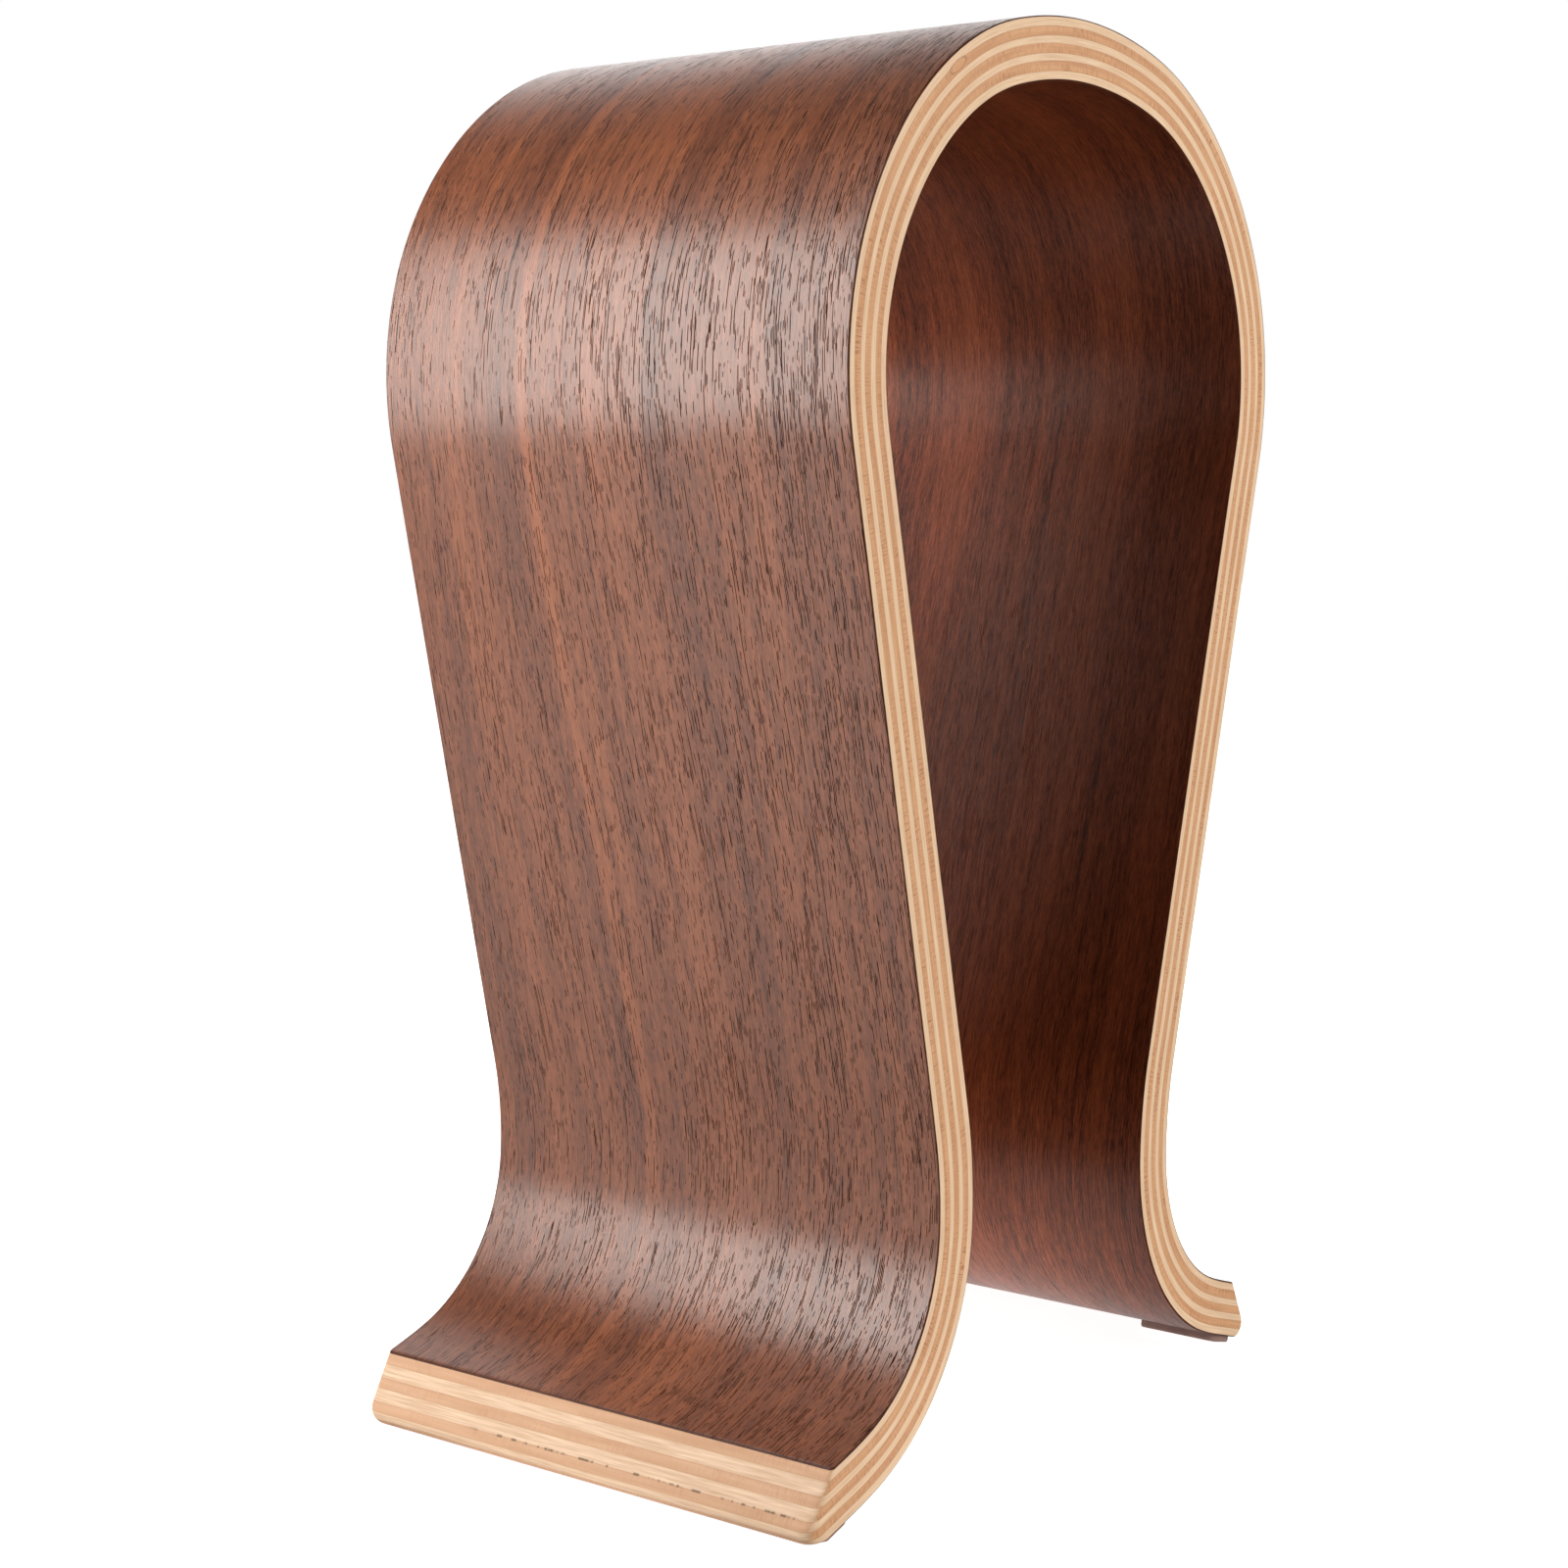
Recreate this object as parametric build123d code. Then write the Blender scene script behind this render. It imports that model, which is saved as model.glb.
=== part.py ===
from build123d import *
from math import cos, radians, sin, tan
import os

# Headphone stand bent from one moulded plywood sheet, in millimetres.
# X runs across the omega-shaped profile, Y along its depth and Z up.
# The origin is on the ground, under the middle of the stand.

# Driving dimensions
HEIGHT = 255.6            # ground to the crest of the loop
DEPTH = 100.0             # width of the bent sheet
LONG_PLY = 1.30           # core plies whose grain follows the bend
CROSS_PLY = 1.65          # core plies whose grain runs along the depth
CORE_PLIES = 7            # long and cross plies in turn, long ones outermost
VENEER = 0.45             # walnut face veneers

# Half of the sheet's mid line, from the crest outwards: (radius, sweep in degrees)
LOOP_ARCS = [(100.0, 14.0), (60.0, 46.0), (51.5, 44.0)]
LEG = 119.5               # straight run of each leg
FOOT_ARCS = [(72.0, 15.0), (38.5, 68.0), (80.0, 5.0)]   # these curve the other way
TOE = 4.0                 # straight run from the last arc to the upper edge of the end face
END_BEVEL = 33.0          # slope of the end face, in degrees from the vertical
END_ROUND = 2.4           # radius along the lower edge of the end face

# Anti-slip pads under the toes, pressed flat on the ground
PAD_THICK = 1.5
PAD_WIDTH = 9.0           # along the sheet
PAD_LENGTH = 17.0         # along the depth
PAD_INSET = 1.0           # from the front or back edge
PAD_START = 0.3           # from the last arc, along the sheet

LONG_COUNT = CORE_PLIES // 2 + 1
CORE = LONG_COUNT * LONG_PLY + (CORE_PLIES - LONG_COUNT) * CROSS_PLY
SHEET = CORE + 2 * VENEER
SPARE = 25.0              # extra sheet beyond the toe, removed by the end cut


def point(place, offset):
    """A point at a distance from the mid line, positive towards the sheet's outer face."""
    x, z, heading = place
    return (x + offset * sin(heading), z + offset * cos(heading))


def advance(place, length, radius):
    """Follow the mid line; a positive radius turns downwards, 0 is straight."""
    x, z, heading = place
    if radius == 0:
        return (x + length * cos(heading), z - length * sin(heading), heading)
    turned = heading + length / radius
    x += radius * (sin(turned) - sin(heading))
    z += radius * (cos(turned) - cos(heading))
    return (x, z, turned)


def half_runs():
    """The half profile as (start, middle, end, radius), from the crest to past the toe."""
    runs = [(radians(sweep) * radius, radius) for radius, sweep in LOOP_ARCS]
    runs.append((LEG, 0))
    runs += [(radians(sweep) * radius, -radius) for radius, sweep in FOOT_ARCS]
    runs.append((TOE + SPARE, 0))
    place = (0.0, HEIGHT - SHEET / 2, 0.0)
    placed = []
    for length, radius in runs:
        middle = advance(place, length / 2, radius)
        end = advance(place, length, radius)
        placed.append((place, middle, end, radius))
        place = end
    return placed


RUNS = half_runs()
TOE_START = RUNS[-1][0]
TOE_EDGE = advance(TOE_START, TOE, 0)


def side(offset, sign):
    """The edges of one half of an offset curve, from the crest to past the toe."""
    edges = []
    for start, middle, end, radius in RUNS:
        spots = [(sign * x, z) for x, z in (point(place, offset) for place in (start, middle, end))]
        if radius == 0:
            edges.append(Line(spots[0], spots[2]))
        else:
            edges.append(ThreePointArc(*spots))
    return edges


def far_end(offset, sign):
    x, z = point(RUNS[-1][2], offset)
    return (sign * x, z)


def band(low, high):
    """The face between two offset curves, over the whole profile."""
    edges = side(low, -1) + side(low, 1) + side(high, -1) + side(high, 1)
    edges += [Line(far_end(low, sign), far_end(high, sign)) for sign in (-1, 1)]
    return make_face(Wire(edges).edges())


def end_cut():
    """What the end cut removes beyond the right toe: the bevel, and a round lower edge."""
    half = SHEET / 2
    heading = TOE_EDGE[2]
    slant = radians(END_BEVEL) + heading
    upper = point(TOE_EDGE, half)
    lower = point(advance(TOE_EDGE, SHEET * tan(slant), 0), -half)
    above = (upper[0] - half * sin(radians(END_BEVEL)), upper[1] + half * cos(radians(END_BEVEL)))
    inner = point(advance(TOE_EDGE, -TOE, 0), -half)
    kept = make_face(Polyline(above, lower, inner, close=True))
    kept = fillet(kept.vertices().sort_by(Axis.X)[-1], END_ROUND)
    far = point(advance(TOE_EDGE, 2 * SPARE, 0), -SHEET)
    near = point(advance(TOE_EDGE, -TOE, 0), -SHEET)
    outside = make_face(Polyline(above, (far[0], above[1]), far, near, inner, close=True))
    return outside - kept


def through_depth(face):
    """Stand a profile face up in the XZ plane and extrude it over the stand's depth."""
    return extrude(Plane.XZ * face, amount=DEPTH / 2, both=True)


CUT = through_depth(end_cut())
CUTS = [CUT, mirror(CUT, about=Plane.YZ)]


def layer(low, high):
    return (through_depth(band(low, high)) - CUTS).solid()


def sheet_layers():
    """Every layer of the plywood by name, from the outer face to the inner one."""
    layers = {}
    high = SHEET / 2
    layers["outer_walnut_veneer"] = layer(high - VENEER, high)
    high -= VENEER
    for number in range(1, CORE_PLIES + 1):
        thickness = LONG_PLY if number % 2 else CROSS_PLY
        layers[f"core_ply_{number}"] = layer(high - thickness, high)
        high -= thickness
    layers["inner_walnut_veneer"] = layer(high - VENEER, high)
    return layers


def pad(x_sign, y_sign):
    """An adhesive pad on the underside of a toe, flat where it meets the ground."""
    start = advance(TOE_START, PAD_START, 0)
    end = advance(start, PAD_WIDTH, 0)
    top = -SHEET / 2
    bottom = top - PAD_THICK
    corners = [point(start, top), point(end, top), point(end, bottom), point(start, bottom)]
    face = Plane.XZ * make_face(Polyline(*[(x_sign * x, z) for x, z in corners], close=True))
    blank = extrude(face, amount=PAD_LENGTH / 2, both=True)
    blank = Pos(0, y_sign * (DEPTH / 2 - PAD_INSET - PAD_LENGTH / 2), 0) * blank
    ground = Pos(0, 0, -PAD_THICK) * Box(2 * HEIGHT, 2 * DEPTH, 2 * PAD_THICK)
    return (blank - ground).solid()


def foot_pads():
    sides = {"left": -1, "right": 1}
    ends = {"front": -1, "back": 1}
    return {
        f"foot_pad_{side_name}_{end_name}": pad(x_sign, y_sign)
        for side_name, x_sign in sides.items()
        for end_name, y_sign in ends.items()
    }


os.makedirs("parts", exist_ok=True)
for name, solid in {**sheet_layers(), **foot_pads()}.items():
    export_step(solid, f"parts/{name}.step")
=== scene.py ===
"""The looks of the bentwood headphone stand: a fine mesh of every plywood layer and pad, with its wood."""

from math import cos, pi, radians, sin, tan

import bmesh
import bpy
import numpy as np
from mathutils import Matrix, Vector


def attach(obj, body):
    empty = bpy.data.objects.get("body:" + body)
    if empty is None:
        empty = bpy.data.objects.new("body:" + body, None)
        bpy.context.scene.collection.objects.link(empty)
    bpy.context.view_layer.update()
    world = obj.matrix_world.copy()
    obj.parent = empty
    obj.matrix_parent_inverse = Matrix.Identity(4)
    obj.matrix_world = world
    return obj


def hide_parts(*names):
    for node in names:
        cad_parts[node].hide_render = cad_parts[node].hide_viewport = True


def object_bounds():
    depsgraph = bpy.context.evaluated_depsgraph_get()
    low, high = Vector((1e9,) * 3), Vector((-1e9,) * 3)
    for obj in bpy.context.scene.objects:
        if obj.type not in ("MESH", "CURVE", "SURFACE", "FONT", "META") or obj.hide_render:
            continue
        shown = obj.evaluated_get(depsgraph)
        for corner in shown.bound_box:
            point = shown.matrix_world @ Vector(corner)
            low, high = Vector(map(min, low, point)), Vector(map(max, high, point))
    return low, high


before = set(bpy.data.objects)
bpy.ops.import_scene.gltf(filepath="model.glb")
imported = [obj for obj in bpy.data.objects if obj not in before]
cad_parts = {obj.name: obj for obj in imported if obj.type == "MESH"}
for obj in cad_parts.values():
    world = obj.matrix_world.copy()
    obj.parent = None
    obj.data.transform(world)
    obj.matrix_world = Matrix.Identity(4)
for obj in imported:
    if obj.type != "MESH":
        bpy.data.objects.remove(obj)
cad_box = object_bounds()
MM = 0.001

# The sheet, as the CAD model has it, in metres; arcs are (radius, sweep in degrees) from the crest
HEIGHT = cad_box[1].z
HALF_DEPTH = cad_box[1].y
VENEER = 0.45 * MM
LONG_PLY = 1.30 * MM
CROSS_PLY = 1.65 * MM
CORE_PLIES = 7
LOOP_ARCS = [(100 * MM, 14), (60 * MM, 46), (51.5 * MM, 44)]
LEG = 119.5 * MM
FOOT_ARCS = [(72 * MM, 15), (38.5 * MM, 68), (80 * MM, 5)]
TOE = 4 * MM
END_BEVEL = radians(33)
END_ROUND = 2.4 * MM

CORE = (CORE_PLIES // 2 + 1) * LONG_PLY + (CORE_PLIES // 2) * CROSS_PLY
HALF_SHEET = CORE / 2 + VENEER
RUNS = (
    [(radians(sweep) * radius, 1 / radius) for radius, sweep in LOOP_ARCS]
    + [(LEG, 0)]
    + [(radians(sweep) * radius, -1 / radius) for radius, sweep in FOOT_ARCS]
)
TOE_START = sum(length for length, curve in RUNS)
TOE_HEADING = sum(length * curve for length, curve in RUNS)
END_EDGE = TOE_START + TOE
END_SLANT = END_BEVEL + TOE_HEADING

# The pads, with their size along the sheet, across it and through them
PAD_SIZE = (9 * MM, 17 * MM, 1.5 * MM)
PAD_START = 0.3 * MM      # from the last arc, along the sheet
PAD_INSET = 1.0 * MM      # from the front or back edge
PAD_CORNER = 2.2 * MM
# A pad's outline on the way down: how far in, and what share of its thickness down
PAD_RINGS = [(0.0, 0.0), (0.0, 0.6), (0.10 * MM, 0.85), (0.35 * MM, 1.0)]
PAD_TURNS = 48            # points round a pad

# What sanding took off the sheet's edges and corners
EDGE_EASE = 0.30 * MM
END_EASE = 0.10 * MM
CORNER_ROUND = (0.7 * MM, 3.2 * MM)     # of the feet's corners, at the outer face and the inner one
FACE_THICK = 0.30 * MM    # what sanding left of the walnut faces
PLY_WANDER = 0.045 * MM   # how unevenly the glue lines run

# A plug in the front edge of one ply: along the sheet, out of the mid line, half length, half height
KNOT = (-43.5 * MM, 3.3 * MM, 2.6 * MM, 0.8 * MM)
KNOT_PLY = 2
KNOT_LIFT = 0.4 * MM      # how far the glue line over it is pushed out
# Plies with gaps in the glue at the left foot's end: 0 on their inner side, 1 on their outer one
GLUE_GAPS = {4: 0.0, 5: 1.0}

# Mesh fineness
STEP = 1.5 * MM           # along the bend
CORNER_POINTS = 9         # across each rounded corner, and along each toe
MIDDLE_POINTS = 12        # across the rest of the sheet
LEVEL_POINTS = 4          # through half of a layer

# Walnut: tones across the sheet as (millimetres from the middle, 0 dark to 1 light)
OUTER_STRIPES = [
    (-50, 0.38), (-40, 0.48), (-35, 0.38), (-29, 0.48), (-24, 0.58), (-17, 0.28), (-11, 0.54), (-4, 0.60),
    (4, 0.55), (11.5, 0.48), (13, 0.86), (14.2, 0.82), (15.6, 0.46), (33, 0.52), (43, 0.45),
]
# On the inner face, the light band from 27 mm to the back edge is partly the wood's own stripe and partly
# painted light, for the light that falls through the back of the arch onto the inside wall
INNER_STRIPES_WITH_PAINTED_LIGHT = [
    (-50, 0.40), (-38, 0.50), (-30, 0.56), (-20, 0.38), (-8, 0.46), (0, 0.58), (8, 0.54),
    (14, 0.34), (20, 0.36), (27, 0.85), (38, 0.90), (50, 0.70),
]
OUTER_WALNUT = {
    "name": "walnut_outer", "seed": 3.7, "stripes": OUTER_STRIPES, "face": 1.0, "gloss": 0.85,
    "pore_depth": 1.0, "dark": (64, 26, 13), "light": (147, 84, 50),
}
# The inner face's darker, redder tones are painted shade for the inside of the arch, which little light
# reaches
INNER_WALNUT_WITH_PAINTED_SHADE = {
    "name": "walnut_inner_painted_shade", "seed": 11.2, "stripes": INNER_STRIPES_WITH_PAINTED_LIGHT, "face": 0.0, "gloss": 0.12,
    "pore_depth": 0.4, "dark": (48, 16, 7), "light": (130, 64, 34),
}
WALNUT_PORE = (26, 9, 5)
WALNUT_EDGE = (66, 34, 22)
WALNUT_ROUGHNESS = (0.26, 0.42)
WALNUT_BUMP = 0.030 * MM
GRAIN_SLOPE = -0.032      # how far the grain leans across the sheet for its length
GRAIN_DRIFT = (-16 * MM, 2 * MM)        # its slow wander across the sheet
GRAIN_SWAY = (-0.5 * MM, 0.5 * MM)      # its quicker one
# Broad streaks, narrow ones, fibres and ripples, each as (repeats per metre along the grain and across it,
# detail, roughness, how far it moves the tone)
STREAKS = [
    ((5, 130), 3.0, 0.55, 0.40),
    ((14, 620), 3.0, 0.65, 0.45),
    ((260, 3800), 2.0, 0.6, 0.70),
    ((900, 3600), 2.0, 0.6, 0.32),
]
# Pores as (length of a stretch of column, space between columns, noise level above which one shows)
PORES = [(10.0 * MM, 0.27 * MM, 0.62), (3.2 * MM, 0.22 * MM, 0.62)]

# Beech: side grain dark and light, then end grain light and dark
BEECH_LONG = (216, 178, 142), (240, 210, 176), (206, 164, 131), (196, 152, 118)
BEECH_CROSS = (198, 162, 130), (230, 202, 174), (218, 166, 121), (201, 147, 104)
BEECH_RAY = (160, 98, 58)
BEECH_BUMP = 0.03 * MM
GLUE = (168, 118, 78)
GLUE_GAP = (84, 66, 38)
KNOT_WOOD = (214, 160, 116)
KNOT_RIM = (120, 70, 40)

# The pads' rubber, dark and light
RUBBER = (134, 106, 98), (160, 130, 120)
RUBBER_BUMP = 0.04 * MM

# How bright the studio's surfaces look to the camera, and how brightly they light the stand
FLOOR_SEEN = 0.95
ROOM_SEEN = 1.0
FLOOR_GLOW = 0.18
FLOOR_POOL = 2.4          # in a pool of light under the arch
POOL_EDGE = (0.03, 0.09)  # metres from the middle where the pool starts to fade and where it ends
FLOOR_REACH = 6.0
FLOOR_WHITE = (200, 200, 200)
ROOM_GLOW = 0.03
WALL_GLOW = 2.6
FAR_WALL = (0.62, 0.78, 0.0)     # the direction of the lit wall
WALL_EDGE = (0.7, 0.95)   # how nearly a direction points at it, where it starts and where it is brightest

# Softboxes as (name, place, size, watts)
WARM_WHITE = (1.0, 0.975, 0.94)
SOFTBOXES = [
    ("key", (-0.35, 0.19, 0.265), (0.26, 0.38), 1.95),
    ("left", (-0.85, 0.20, 1.35), (0.9, 0.9), 6),
    ("front", (0.40, -1.30, 0.56), (0.9, 0.9), 14),
    ("right", (1.26, -0.42, 0.83), (0.9, 0.9), 4),
    ("back", (0.86, 1.03, 0.81), (0.9, 0.9), 0.5),
]
# A narrow beam from behind, through the arch and onto the inside of the right leg
ARCH_LIGHT = ("through_the_arch", (-0.25, 0.45, 0.20), (0.05, 0.05), 0.014)
ARCH_SPREAD = 9           # degrees
ARCH_AIM = (0.066, 0.048, 0.178)

CAMERA_PLACE = (-0.4431, -0.2990, 0.1692)
CAMERA_TURN, CAMERA_TILT, CAMERA_ROLL = radians(51.78), radians(-5.63), radians(0.61)
LENS = 64.04
SENSOR = 36
SHIFT = 0.094


def camera():
    data = bpy.data.cameras.new("camera")
    data.sensor_width = SENSOR
    data.lens = LENS
    data.shift_x = SHIFT
    seen = bpy.data.objects.new("camera", data)
    bpy.context.scene.collection.objects.link(seen)
    bpy.context.scene.camera = seen
    stand = Matrix.Rotation(-CAMERA_TURN, 4, "Z")
    stand = stand @ Matrix.Rotation(pi / 2 + CAMERA_TILT, 4, "X") @ Matrix.Rotation(CAMERA_ROLL, 4, "Z")
    seen.matrix_world = Matrix.Translation(CAMERA_PLACE) @ stand


def mid_line(distance):
    """Place and heading on the sheet's mid line at distances from the crest, as arrays."""
    x = np.zeros_like(distance)
    z = np.full_like(distance, HEIGHT - HALF_SHEET)
    heading = np.zeros_like(distance)
    start = 0.0
    for length, curve in RUNS + [(1.0, 0)]:
        gone = np.clip(distance - start, 0, length)
        if curve:
            turned = heading + curve * gone
            x += (np.sin(turned) - np.sin(heading)) / curve
            z += (np.cos(turned) - np.cos(heading)) / curve
            heading = turned
        else:
            x += gone * np.cos(heading)
            z -= gone * np.sin(heading)
        start += length
    return x, z, heading


def in_space(along, across, depth):
    """The place of a point so far along the bend from the crest, across the sheet and out of its mid line."""
    x, z, heading = mid_line(np.abs(along))
    x += depth * np.sin(heading)
    z += depth * np.cos(heading)
    return np.stack([np.sign(along) * x, across, z], axis=-1)


def eased(inset, radius):
    """How much a rounding of that radius takes off, at a distance in from the square corner."""
    reach = np.clip(radius - inset, 0, radius)
    return radius - np.sqrt(radius**2 - reach**2)


def end_of_sheet(across, depth):
    """How far along the bend the sheet reaches: a bevel, a round lower edge and rounded corners."""
    reach = (HALF_SHEET - depth) * tan(END_SLANT)
    centre = END_ROUND - HALF_SHEET
    middle = (HALF_SHEET - centre) * tan(END_SLANT) - END_ROUND / cos(END_SLANT)
    rounded = depth < centre + END_ROUND * sin(END_SLANT)
    fall = np.clip(END_ROUND**2 - (depth - centre) ** 2, 0, None)
    reach = np.where(rounded, middle + np.sqrt(fall), reach)
    reach -= eased(HALF_SHEET - depth, END_EASE)
    share = np.clip(0.5 - depth / (2 * HALF_SHEET), 0, 1)
    corner = CORNER_ROUND[0] + share * (CORNER_ROUND[1] - CORNER_ROUND[0])
    return END_EDGE + reach - eased(HALF_DEPTH - np.abs(across), corner)


def toward_ends(low, high, ease, steps):
    """Values from low to high, closer together within ease of both ends."""
    turns = np.linspace(0, pi / 2, steps)
    near = ease * (1 - np.cos(turns))
    return np.concatenate([low + near, (high - near)[::-1]])


def glue_line(number, along, across):
    """How far a glue line lies from its true depth: plies aren't quite even, and one bends round a knot."""
    if number in (0, CORE_PLIES + 2):
        return 0.0
    # Three waves of different lengths, out of step from one glue line to the next
    turn = 2.4 * number
    wave = np.sin(along / 0.031 + turn) + 0.7 * np.sin(along / 0.0123 + 1.9 * turn + across / 0.05)
    wave += 0.4 * np.sin(along / 0.0047 + 3.1 * turn)
    shift = PLY_WANDER * wave
    if number == 1:
        shift += VENEER - FACE_THICK
    if number == CORE_PLIES + 1:
        shift -= VENEER - FACE_THICK
    if number == KNOT_PLY:
        place, _, half_long, _ = KNOT
        # 1 at the front edge, 0 from an eighth of the depth in
        front = np.clip(-across / HALF_DEPTH * 4 - 3, 0, 1)
        shift += KNOT_LIFT * front * np.exp(-(((along - place) / half_long) ** 2))
    return shift


def layers():
    """Each layer as (node, slot, low depth, high depth, number of its outer glue line)."""
    depth = HALF_SHEET
    found = []
    for number in range(CORE_PLIES + 2):
        if number in (0, CORE_PLIES + 1):
            node = "outer_walnut_veneer" if number == 0 else "inner_walnut_veneer"
            slot, thickness = "walnut_face", VENEER
        else:
            node = f"core_ply_{number}"
            slot, thickness = ("long_grain_ply", LONG_PLY) if number % 2 else ("cross_grain_ply", CROSS_PLY)
        found.append((node, slot, depth - thickness, depth, number))
        depth -= thickness
    return found


def lattice_faces(shape):
    """Which points of a block of grid points are on its surface, and its quads between them."""
    inside = np.zeros(shape, bool)
    inside[1:-1, 1:-1, 1:-1] = True
    index = np.full(shape, -1)
    index[~inside] = np.arange((~inside).sum())
    quads = []
    for axis in range(3):
        for side, flip in ((0, True), (-1, False)):
            grid = np.take(index, side, axis=axis)
            corners = [grid[:-1, :-1], grid[1:, :-1], grid[1:, 1:], grid[:-1, 1:]]
            if flip != (axis == 1):
                corners.reverse()
            quads.append(np.stack([corner.ravel() for corner in corners], axis=-1))
    return ~inside, np.concatenate(quads)


def layer_grid():
    """A block of points: -1 to 1 along the bend and one more at each toe, -1 to 1 across, 0 to 1 through."""
    across = toward_ends(-1, 1, CORNER_ROUND[1] / HALF_DEPTH, CORNER_POINTS)
    middle = np.linspace(across[CORNER_POINTS - 1], across[CORNER_POINTS], MIDDLE_POINTS + 2)[1:-1]
    across = np.concatenate([across[:CORNER_POINTS], middle, across[CORNER_POINTS:]])
    steps = int(TOE_START / STEP)
    along = np.linspace(-1, 1, 2 * steps + 1)
    toe = 1 + np.linspace(0, 1, CORNER_POINTS)[1:]
    along = np.concatenate([-toe[::-1], along, toe])
    level = toward_ends(0, 1, 0.5, LEVEL_POINTS)
    level = np.delete(level, LEVEL_POINTS)      # the middle, which both halves end on
    return np.meshgrid(along, across, level, indexing="ij")


def layer_mesh(node, low, high, number):
    """A layer's closed mesh, with its sheet coordinates stored on every point."""
    along, across, through = layer_grid()
    across = across * HALF_DEPTH
    distance = np.clip(along, -1, 1) * TOE_START
    outer = high + glue_line(number, distance, across)
    inner = low + glue_line(number + 1, distance, across)
    depth = inner + through * (outer - inner)
    past = np.clip(np.abs(along) - 1, 0, 1)
    distance = distance + np.sign(along) * past * (end_of_sheet(across, depth) - TOE_START)
    across = across * (1 - eased(HALF_SHEET - np.abs(depth), EDGE_EASE) / HALF_DEPTH)

    shown, quads = lattice_faces(along.shape)
    distance, across, through, depth = distance[shown], across[shown], through[shown], depth[shown]
    mesh = bpy.data.meshes.new(node)
    mesh.from_pydata(in_space(distance, across, depth).tolist(), [], quads.tolist())
    mesh.validate()
    sheet = mesh.attributes.new("sheet", "FLOAT_VECTOR", "POINT")
    sheet.data.foreach_set("vector", np.stack([distance, across, depth], axis=-1).ravel())
    share = mesh.attributes.new("through", "FLOAT", "POINT")
    share.data.foreach_set("value", through)
    smooth(mesh, 32)
    return mesh


def smooth(mesh, sharp_degrees):
    mesh.polygons.foreach_set("use_smooth", [True] * len(mesh.polygons))
    mesh.set_sharp_from_angle(angle=radians(sharp_degrees))


def pad_loop(bm, side, end, inset, drop):
    """One ring of a pad's points, drawn in by inset and no lower than the ground."""
    length, width, thick = PAD_SIZE
    loop = []
    for turn in range(PAD_TURNS):
        angle = 2 * pi * (turn + 0.5) / PAD_TURNS
        u = (length / 2 - PAD_CORNER) * np.sign(cos(angle)) + (PAD_CORNER - inset) * cos(angle)
        v = (width / 2 - PAD_CORNER) * np.sign(sin(angle)) + (PAD_CORNER - inset) * sin(angle)
        along = TOE_START + PAD_START + length / 2 + u
        across = end * (HALF_DEPTH - PAD_INSET - width / 2) + v
        spot = in_space(np.array(side * along), np.array(across), np.array(-HALF_SHEET - drop * thick))
        loop.append(bm.verts.new((spot[0], spot[1], max(spot[2], 0.0))))
    return loop


def pad_mesh(node, side, end):
    """A soft pad with round corners, stuck to the straight part of the toe and flat on the ground."""
    bm = bmesh.new()
    loops = [pad_loop(bm, side, end, inset, drop) for inset, drop in PAD_RINGS]
    for upper, lower in zip(loops, loops[1:]):
        for turn in range(PAD_TURNS):
            following = (turn + 1) % PAD_TURNS
            bm.faces.new([upper[turn], upper[following], lower[following], lower[turn]])
    bm.faces.new(loops[0])
    bm.faces.new(loops[-1])
    bmesh.ops.recalc_face_normals(bm, faces=bm.faces)
    mesh = bpy.data.meshes.new(node)
    bm.to_mesh(mesh)
    bm.free()
    smooth(mesh, 40)
    return mesh


def add_piece(name, mesh, node, material):
    piece = bpy.data.objects.new(name, mesh)
    bpy.context.scene.collection.objects.link(piece)
    mesh.materials.append(material)
    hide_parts(node)
    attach(piece, "root")


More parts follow.
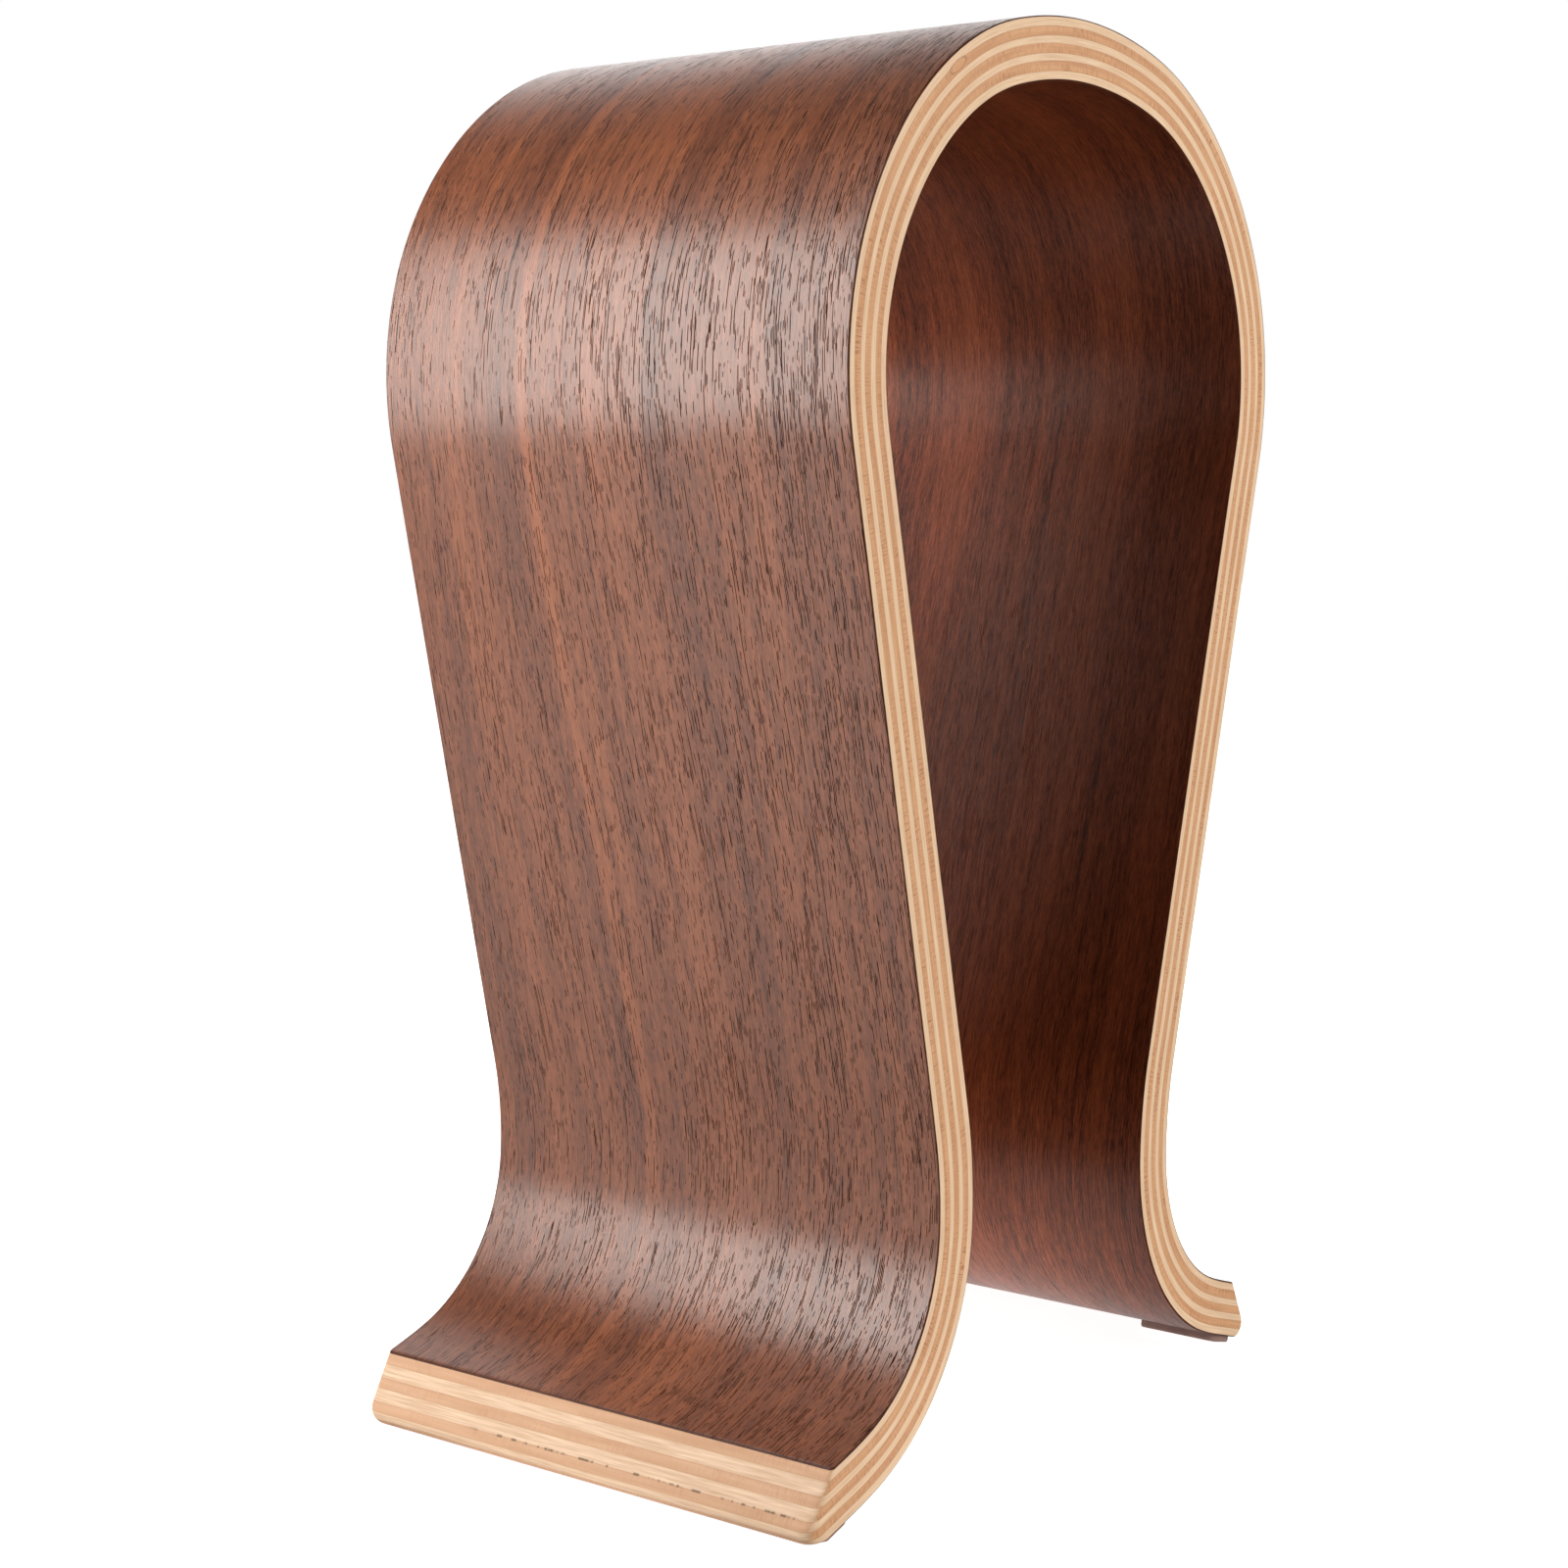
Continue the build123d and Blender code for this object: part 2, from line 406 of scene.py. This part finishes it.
class Shader:
    """A material with a Principled surface, and a short call for each kind of node."""

    def __init__(self, name, **surface):
        self.material = bpy.data.materials.new(name)
        self.material.use_nodes = True
        self.tree = self.material.node_tree
        self.surface = self.tree.nodes["Principled BSDF"]
        for socket, value in surface.items():
            self.surface.inputs[socket.replace("_", " ")].default_value = value

    def plug(self, socket, value):
        if isinstance(value, bpy.types.NodeSocket):
            self.tree.links.new(value, socket)
        else:
            socket.default_value = value

    def set(self, name, value):
        self.plug(self.surface.inputs[name], value)

    def node(self, kind, *values, output=0, **settings):
        made = self.tree.nodes.new("ShaderNode" + kind)
        for name, value in settings.items():
            setattr(made, name, value)
        for socket, value in zip([s for s in made.inputs if s.enabled], values):
            if value is not None:
                self.plug(socket, value)
        return [s for s in made.outputs if s.enabled][output]

    def math(self, operation, *values):
        return self.node("Math", *values, operation=operation)

    def blend(self, share, first, second):
        return self.node("Mix", share, first, second, data_type="RGBA")

    def part(self, vector, axis):
        """The vector's x, y or z, for an axis of 0, 1 or 2."""
        return self.node("SeparateXYZ", vector, output=axis)

    def distance(self, first, second):
        return self.math("ABSOLUTE", self.math("SUBTRACT", first, second))

    def stretch(self, vector, scale, shift=(0, 0, 0)):
        """The vector scaled on each axis, as to repeats per metre, and then moved."""
        return self.node("VectorMath", vector, scale, shift, operation="MULTIPLY_ADD")

    def noise(self, vector, detail=2.0, roughness=0.5):
        return self.node("TexNoise", vector, 1.0, detail, roughness)

    def span(self, value, low, high, to_low=0.0, to_high=1.0):
        return self.node("MapRange", value, low, high, to_low, to_high)

    def sheet(self):
        return self.node("Attribute", attribute_name="sheet", output=1)

    def through(self):
        """0 on a layer's inner side to 1 on its outer side."""
        return self.node("Attribute", attribute_name="through", output=2)

    def facing_front(self):
        """1 on the sheet's front and back edges, 0 on its faces and ends."""
        across = self.part(self.node("TexCoord", output=1), 1)
        return self.span(self.math("ABSOLUTE", across), 0.45, 0.85)

    def bump(self, height, distance):
        return self.node("Bump", 1.0, distance, None, height)


def colour(red, green, blue):
    """An sRGB colour of 0 to 255 as the linear one that a shader takes."""
    shares = [value / 255 for value in (red, green, blue)]
    linear = [s / 12.92 if s <= 0.04045 else ((s + 0.055) / 1.055) ** 2.4 for s in shares]
    return (*linear, 1.0)


def leaning_grain(sh, seed):
    """Sheet coordinates, moved so that lines along the grain lean and wander a little across the sheet."""
    sheet = sh.sheet()
    drift = sh.noise(sh.stretch(sheet, (4, 9, 0), (seed, 0, 0)), 1.0)
    sway = sh.noise(sh.stretch(sheet, (45, 60, 0), (0, seed, 0)), 1.0)
    drift = sh.span(drift, 0, 1, *GRAIN_DRIFT)
    sway = sh.span(sway, 0, 1, *GRAIN_SWAY)
    shift = sh.math("MULTIPLY_ADD", sh.part(sheet, 0), GRAIN_SLOPE, sh.math("ADD", drift, sway))
    return sh.node("VectorMath", sheet, sh.node("CombineXYZ", 0.0, shift, 0.0), operation="ADD")


def stripe_tone(sh, grain, stripes):
    """How light the wood is across the sheet, from 0 to 1."""
    ramp = sh.tree.nodes.new("ShaderNodeValToRGB")
    for place, tone in stripes:
        stop = ramp.color_ramp.elements.new(0.5 + place * MM / (2 * HALF_DEPTH))
        stop.color = (tone, tone, tone, 1)
    ramp.color_ramp.elements.remove(ramp.color_ramp.elements[0])
    ramp.color_ramp.elements.remove(ramp.color_ramp.elements[-1])
    sh.plug(ramp.inputs[0], sh.span(sh.part(grain, 1), -HALF_DEPTH, HALF_DEPTH))
    return ramp.outputs[0]


def pore_layer(sh, grain, dense, length, spacing, limit):
    """Dark dashes in narrow columns along the grain, each column broken up by its own noise."""
    column = sh.math("DIVIDE", sh.part(grain, 1), spacing)
    own = sh.node("TexWhiteNoise", sh.math("FLOOR", column), noise_dimensions="1D")
    place = sh.math("MULTIPLY_ADD", own, 70.0, sh.math("DIVIDE", sh.part(grain, 0), length))
    cut = sh.noise(sh.node("CombineXYZ", place, sh.math("MULTIPLY", own, 90.0), 0.0), 1.0)
    dash = sh.span(sh.math("SUBTRACT", cut, sh.math("SUBTRACT", limit, dense)), 0.0, 0.03)
    off_centre = sh.distance(sh.math("FRACT", column), 0.5)
    return sh.math("MULTIPLY", dash, sh.span(off_centre, 0.12, 0.30, 1.0, 0.0))


def walnut_pores(sh, grain, seed):
    """Long and short pores, in patches and denser towards the front edge."""
    patchy = sh.noise(sh.stretch(sh.sheet(), (22, 110, 0), (seed, seed, 0)), 2.0)
    front = sh.span(sh.part(grain, 1), -HALF_DEPTH, HALF_DEPTH, 0.035, -0.025)
    dense = sh.math("ADD", sh.span(patchy, 0.3, 0.7, -0.035, 0.045), front)
    return sh.math("MAXIMUM", *(pore_layer(sh, grain, dense, *kind) for kind in PORES))


def walnut(name, seed, stripes, face, gloss, pore_depth, dark, light):
    """Satin walnut veneer: straight grain along the bend, long stripes and short dark pores."""
    sh = Shader(name)
    grain = leaning_grain(sh, seed)
    tone = stripe_tone(sh, grain, stripes)
    streaks = []
    for repeats, detail, roughness, swing in STREAKS:
        streaks.append(sh.noise(sh.stretch(grain, (*repeats, 0), (0, 0, seed)), detail, roughness))
        tone = sh.math("ADD", tone, sh.span(streaks[-1], 0, 1, -swing, swing))
    fibre, ripple = streaks[-2:]

    pores = sh.math("MULTIPLY", walnut_pores(sh, grain, seed), pore_depth)
    wood = sh.blend(pores, sh.blend(tone, colour(*dark), colour(*light)), colour(*WALNUT_PORE))
    # The veneer's own cut edge, away from its face, is darker
    edge = sh.span(sh.distance(sh.through(), face), 0.04, 0.25, 0, 0.85)
    sh.set("Base Color", sh.blend(edge, wood, colour(*WALNUT_EDGE)))
    sh.set("Specular IOR Level", sh.span(sh.math("MAXIMUM", pores, edge), 0, 1, gloss, 0))
    rough = sh.span(ripple, 0, 1, *WALNUT_ROUGHNESS)
    sh.set("Roughness", sh.math("ADD", rough, sh.math("MULTIPLY", pores, 0.25)))
    height = sh.math("ADD", sh.math("MULTIPLY", fibre, 1.2), sh.math("MULTIPLY", ripple, 0.8))
    sh.set("Normal", sh.bump(sh.math("SUBTRACT", height, pores), WALNUT_BUMP))
    return sh.material


def ply(name, number):
    """Core veneer of pale beech: fine streaks along its own grain, and warmer end grain crossed by rays."""
    along_bend = number % 2 == 1
    seed = 5.3 * number
    sh = Shader(name, Roughness=0.60, Specular_IOR_Level=0.35)
    sheet = sh.sheet()
    front = sh.facing_front()
    end = sh.math("SUBTRACT", 1.0, front) if along_bend else front
    along, across = (0, 1) if along_bend else (1, 0)

    def scaled(fibre, tangent, radial, shift=0.0):
        sizes = [0, 0, radial]
        sizes[along], sizes[across] = fibre, tangent
        return sh.stretch(sheet, sizes, (seed, shift, 0))

    streak = sh.noise(scaled(90, 900, 3600), 3.0, 0.65)
    rings = sh.noise(scaled(12, 60, 1500, 3.0), 2.0, 0.5)
    rays = sh.noise(scaled(500, 3300, 420, 7.0), 2.0, 0.5)
    patchy = sh.noise(scaled(60, 60, 60, 9.0), 2.0, 0.5)

    tones = BEECH_LONG if along_bend else BEECH_CROSS
    side_dark, side_light, end_light, end_dark = (colour(*tone) for tone in tones)
    pale = sh.blend(sh.span(streak, 0.32, 0.68), side_dark, side_light)
    warm = sh.blend(sh.span(rings, 0.3, 0.7), end_light, end_dark)
    strokes = sh.math("MULTIPLY", sh.span(rays, 0.50, 0.65), sh.span(patchy, 0.38, 0.66, 0.1, 0.8))
    warm = sh.blend(sh.math("MULTIPLY", strokes, 0.25 if along_bend else 1.0), warm, colour(*BEECH_RAY))
    wood = sh.blend(end, pale, warm)

    near_glue = sh.span(sh.distance(sh.through(), 0.5), 0.42, 0.5)
    glue = sh.math("MULTIPLY", near_glue, sh.span(streak, 0.35, 0.6, 0.15, 0.5))
    wood = sh.blend(glue, wood, colour(*GLUE))
    if number == KNOT_PLY:
        wood = knot(sh, sheet, front, wood)
    if number in GLUE_GAPS:
        wood = glue_gaps(sh, sheet, GLUE_GAPS[number], wood)
    sh.set("Base Color", wood)
    height = sh.math("SUBTRACT", sh.math("MULTIPLY", streak, 0.6), strokes)
    sh.set("Normal", sh.bump(height, BEECH_BUMP))
    return sh.material


def knot(sh, sheet, front, wood):
    """An almond-shaped plug on the front edge of one ply, with a dark rim."""
    place, depth, half_long, half_high = KNOT
    shift = (-place / half_long, 0, -depth / half_high)
    scaled = sh.stretch(sheet, (1 / half_long, 0, 1 / half_high), shift)
    reach = sh.node("VectorMath", scaled, operation="LENGTH", output=0)
    there = sh.math("MULTIPLY", front, sh.math("LESS_THAN", sh.part(sheet, 1), 0.0))
    inside = sh.math("MULTIPLY", there, sh.span(reach, 1.05, 0.95))
    rim = sh.math("MULTIPLY", there, sh.span(sh.distance(reach, 1.0), 0.16, 0.04, 0, 0.4))
    wood = sh.blend(sh.math("MULTIPLY", inside, 0.6), wood, colour(*KNOT_WOOD))
    return sh.blend(rim, wood, colour(*KNOT_RIM))


def glue_gaps(sh, sheet, side, wood):
    """Short dark gaps in the glue on the left foot's end, on the side of the ply that is given."""
    end = sh.math("LESS_THAN", sh.part(sheet, 0), -TOE_START)
    near = sh.span(sh.distance(sh.through(), side), 0.14, 0.03)
    breaks = sh.span(sh.noise(sh.stretch(sheet, (0, 260, 0)), 3.0, 0.7), 0.50, 0.56)
    middle = sh.span(sh.part(sheet, 1), 28 * MM, 18 * MM)
    gap = sh.math("MULTIPLY", sh.math("MULTIPLY", end, near), sh.math("MULTIPLY", middle, breaks))
    return sh.blend(sh.math("MULTIPLY", gap, 0.85), wood, colour(*GLUE_GAP))


def pad_rubber():
    """Matte brown anti-slip rubber with a fine cast grain."""
    sh = Shader("pad_rubber", Specular_IOR_Level=0.35)
    place = sh.node("TexCoord", output=3)
    cloud = sh.noise(sh.stretch(place, (220, 220, 220)), 3.0)
    grain = sh.noise(sh.stretch(place, (4200, 4200, 4200)), 2.0)
    dark, light = (colour(*tone) for tone in RUBBER)
    sh.set("Base Color", sh.blend(sh.span(cloud, 0.3, 0.7), dark, light))
    sh.set("Roughness", sh.span(grain, 0.3, 0.7, 0.65, 0.85))
    sh.set("Normal", sh.bump(grain, RUBBER_BUMP))
    return sh.material


def seen_and_lit(tree, seen):
    """A strength as the camera sees it, with a socket, A, for how strongly it lights things."""
    rays = tree.nodes.new("ShaderNodeLightPath")
    level = tree.nodes.new("ShaderNodeMix")
    level.inputs["B"].default_value = seen
    tree.links.new(rays.outputs["Is Camera Ray"], level.inputs["Factor"])
    return level


def floor():
    """A white floor, well past what the camera sees, that also glows to light the stand, most brightly in a
    pool of light under the arch.
    """
    mesh = bpy.data.meshes.new("floor")
    reach = FLOOR_REACH
    corners = [(-reach, -reach, 0), (reach, -reach, 0), (reach, reach, 0), (-reach, reach, 0)]
    mesh.from_pydata(corners, [], [(0, 1, 2, 3)])
    white = colour(*FLOOR_WHITE)
    sh = Shader("floor_paper", Roughness=0.8, Specular_IOR_Level=0.1, Base_Color=white)
    sh.set("Emission Color", (1, 1, 1, 1))
    from_middle = sh.node("VectorMath", sh.node("TexCoord", output=3), operation="LENGTH", output=0)
    level = seen_and_lit(sh.tree, FLOOR_SEEN)
    sh.plug(level.inputs["A"], sh.span(from_middle, *POOL_EDGE, FLOOR_POOL, FLOOR_GLOW))
    sh.set("Emission Strength", level.outputs["Result"])
    mesh.materials.append(sh.material)
    piece = bpy.data.objects.new("floor", mesh)
    bpy.context.scene.collection.objects.link(piece)


def surroundings():
    """A studio that looks white all round, though nearly all of its light comes from the far wall."""
    world = bpy.data.worlds.new("studio")
    bpy.context.scene.world = world
    world.use_nodes = True
    tree = world.node_tree
    direction = tree.nodes.new("ShaderNodeTexCoord")
    toward = tree.nodes.new("ShaderNodeVectorMath")
    toward.operation = "DOT_PRODUCT"
    toward.inputs[1].default_value = FAR_WALL
    tree.links.new(direction.outputs["Generated"], toward.inputs[0])
    wall = tree.nodes.new("ShaderNodeMapRange")
    wall.inputs["From Min"].default_value, wall.inputs["From Max"].default_value = WALL_EDGE
    wall.inputs["To Min"].default_value = ROOM_GLOW
    wall.inputs["To Max"].default_value = WALL_GLOW
    tree.links.new(toward.outputs["Value"], wall.inputs["Value"])
    level = seen_and_lit(tree, ROOM_SEEN)
    tree.links.new(wall.outputs["Result"], level.inputs["A"])
    background = tree.nodes["Background"]
    background.inputs["Color"].default_value = (1, 1, 1, 1)
    tree.links.new(level.outputs["Result"], background.inputs["Strength"])


def softbox(name, place, size, watts, spread=180, aim=(0, 0, HEIGHT / 2)):
    """A rectangular area light, a little warm, aimed at the middle of the stand unless told otherwise."""
    data = bpy.data.lights.new(name, "AREA")
    data.shape = "RECTANGLE"
    data.size, data.size_y = size
    data.energy = watts
    data.spread = radians(spread)
    data.color = WARM_WHITE
    lamp = bpy.data.objects.new(name, data)
    lamp.location = place
    lamp.rotation_euler = (Vector(aim) - Vector(place)).to_track_quat("-Z", "Y").to_euler()
    bpy.context.scene.collection.objects.link(lamp)


camera()
bpy.context.scene.view_settings.view_transform = "Standard"

faces = {"outer_walnut_veneer": walnut(**OUTER_WALNUT), "inner_walnut_veneer": walnut(**INNER_WALNUT_WITH_PAINTED_SHADE)}
for node, slot, low, high, number in layers():
    material = faces[node] if node in faces else ply(f"beech_{number}", number)
    add_piece(f"{node}_wood", layer_mesh(node, low, high, number), node, material)

rubber = pad_rubber()
for side_name, side in (("left", -1), ("right", 1)):
    for end_name, end in (("front", -1), ("back", 1)):
        node = f"foot_pad_{side_name}_{end_name}"
        add_piece(f"{node}_soft", pad_mesh(node, side, end), node, rubber)

floor()
surroundings()
for box in SOFTBOXES:
    softbox(*box)
softbox(*ARCH_LIGHT, spread=ARCH_SPREAD, aim=ARCH_AIM)
